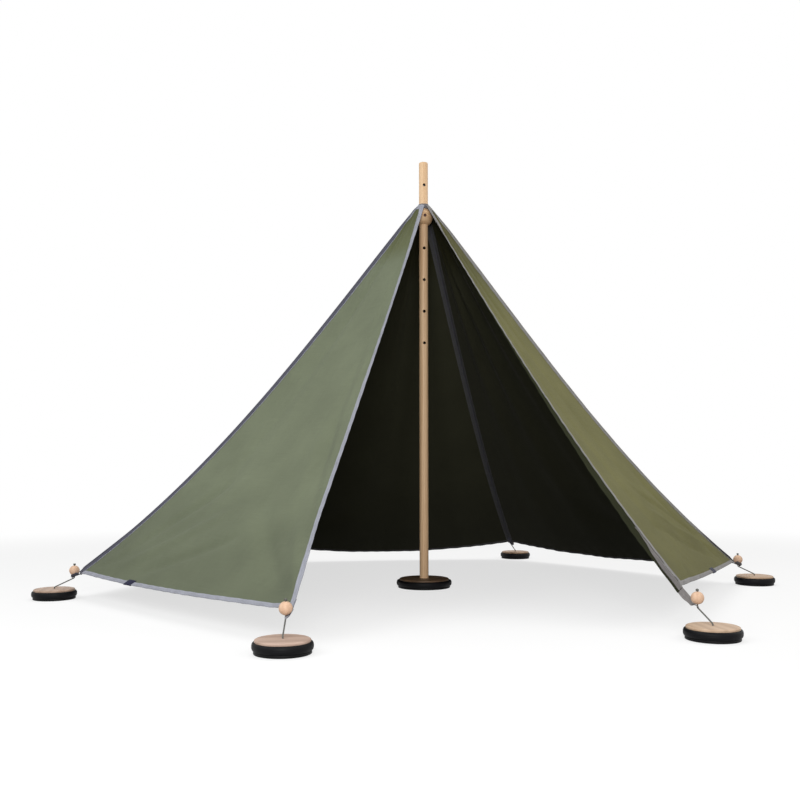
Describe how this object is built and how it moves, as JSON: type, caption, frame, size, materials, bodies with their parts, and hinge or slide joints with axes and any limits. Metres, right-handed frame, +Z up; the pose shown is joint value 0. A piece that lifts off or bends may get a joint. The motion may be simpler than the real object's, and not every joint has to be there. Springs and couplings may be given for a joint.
{
  "type": "play tent",
  "caption": "Hexagonal play tent with an open doorway: olive canvas panels with grey tape edges, a wooden centre pole, and wooden anchor feet on cords.",
  "frame": {"origin": "on the floor at the pole's axis, under the centre foot", "axes": "+Z up along the pole, -Y out through the doorway, +X to the right as seen from the doorway"},
  "size_m": [2.7596, 2.4623, 1.6203],
  "materials": {
    "pale_wood": "clear matt",
    "dark_wood": "stained",
    "canvas": "woven cotton",
    "tape": "woven tape",
    "cord": "braided",
    "rubber": "satin black",
    "weight": "satin black"
  },
  "bodies": {
    "tent": {"pole": "pale_wood", "apex_ball": "pale_wood", "apex_collar": "tape", "canvas_right": "canvas", "binding_right": "tape", "canvas_rear_right": "canvas", "binding_rear_right": "tape", "canvas_rear": "canvas", "binding_rear": "tape", "canvas_rear_left": "canvas", "binding_rear_left": "tape", "canvas_left": "canvas", "binding_left": "tape", "corner_strap_door_right": "tape", "corner_cord_door_right": "cord", "corner_strap_right": "tape", "corner_cord_right": "cord", "corner_strap_rear_right": "tape", "corner_cord_rear_right": "cord", "corner_strap_rear_left": "tape", "corner_cord_rear_left": "cord", "corner_strap_left": "tape", "corner_cord_left": "cord", "corner_strap_door_left": "tape", "corner_cord_door_left": "cord"},
    "pin": {"locking_pin": "dark_wood"},
    "centre_foot": {"centre_foot_cap": "pale_wood", "centre_foot_ring": "rubber", "centre_foot_weight": "weight"},
    "anchor_foot_door_right": {"anchor_cap_door_right": "pale_wood", "anchor_ring_door_right": "rubber", "anchor_weight_door_right": "weight"},
    "bead_door_right": {"corner_ball_door_right": "pale_wood"},
    "anchor_foot_right": {"anchor_cap_right": "pale_wood", "anchor_ring_right": "rubber", "anchor_weight_right": "weight"},
    "bead_right": {"corner_ball_right": "pale_wood"},
    "anchor_foot_rear_right": {"anchor_cap_rear_right": "pale_wood", "anchor_ring_rear_right": "rubber", "anchor_weight_rear_right": "weight"},
    "bead_rear_right": {"corner_ball_rear_right": "pale_wood"},
    "anchor_foot_rear_left": {"anchor_cap_rear_left": "pale_wood", "anchor_ring_rear_left": "rubber", "anchor_weight_rear_left": "weight"},
    "bead_rear_left": {"corner_ball_rear_left": "pale_wood"},
    "anchor_foot_left": {"anchor_cap_left": "pale_wood", "anchor_ring_left": "rubber", "anchor_weight_left": "weight"},
    "bead_left": {"corner_ball_left": "pale_wood"},
    "anchor_foot_door_left": {"anchor_cap_door_left": "pale_wood", "anchor_ring_door_left": "rubber", "anchor_weight_door_left": "weight"},
    "bead_door_left": {"corner_ball_door_left": "pale_wood"}
  },
  "joints": [
    {"name": "pin_draw", "type": "slide", "parent": "tent", "child": "pin", "axis": [0, -1, 0], "range_m": [0, 0.061]},
    {"name": "centre_foot_turn", "type": "hinge", "parent": "tent", "child": "centre_foot", "pos_m": [0, 0, 0], "axis": [0, 0, 1], "continuous": true},
    {"name": "anchor_turn_door_right", "type": "hinge", "parent": "tent", "child": "anchor_foot_door_right", "pos_m": [0.55156, -1.18823, 0], "axis": [0, 0, 1], "continuous": true},
    {"name": "bead_turn_door_right", "type": "hinge", "parent": "tent", "child": "bead_door_right", "pos_m": [0.54846, -1.10973, 0.0968], "axis": [0, 0, 1], "continuous": true},
    {"name": "anchor_turn_right", "type": "hinge", "parent": "tent", "child": "anchor_foot_right", "pos_m": [1.28462, -0.12143, 0], "axis": [0, 0, 1], "continuous": true},
    {"name": "bead_turn_right", "type": "hinge", "parent": "tent", "child": "bead_right", "pos_m": [1.21861, -0.11519, 0.09675], "axis": [0, 0, 1], "continuous": true},
    {"name": "anchor_turn_rear_right", "type": "hinge", "parent": "tent", "child": "anchor_foot_rear_right", "pos_m": [0.67036, 1.10255, 0], "axis": [0, 0, 1], "continuous": true},
    {"name": "bead_turn_rear_right", "type": "hinge", "parent": "tent", "child": "bead_rear_right", "pos_m": [0.63591, 1.04589, 0.09674], "axis": [0, 0, 1], "continuous": true},
    {"name": "anchor_turn_rear_left", "type": "hinge", "parent": "tent", "child": "anchor_foot_rear_left", "pos_m": [-0.68837, 1.11456, 0], "axis": [0, 0, 1], "continuous": true},
    {"name": "bead_turn_rear_left", "type": "hinge", "parent": "tent", "child": "bead_rear_left", "pos_m": [-0.65347, 1.05805, 0.09658], "axis": [0, 0, 1], "continuous": true},
    {"name": "anchor_turn_left", "type": "hinge", "parent": "tent", "child": "anchor_foot_left", "pos_m": [-1.32499, -0.11126, 0], "axis": [0, 0, 1], "continuous": true},
    {"name": "bead_turn_left", "type": "hinge", "parent": "tent", "child": "bead_left", "pos_m": [-1.2587, -0.1057, 0.09643], "axis": [0, 0, 1], "continuous": true},
    {"name": "anchor_turn_door_left", "type": "hinge", "parent": "tent", "child": "anchor_foot_door_left", "pos_m": [-0.55597, -1.19773, 0], "axis": [0, 0, 1], "continuous": true},
    {"name": "bead_turn_door_left", "type": "hinge", "parent": "tent", "child": "bead_door_left", "pos_m": [-0.54725, -1.12203, 0.0967], "axis": [0, 0, 1], "continuous": true}
  ]
}
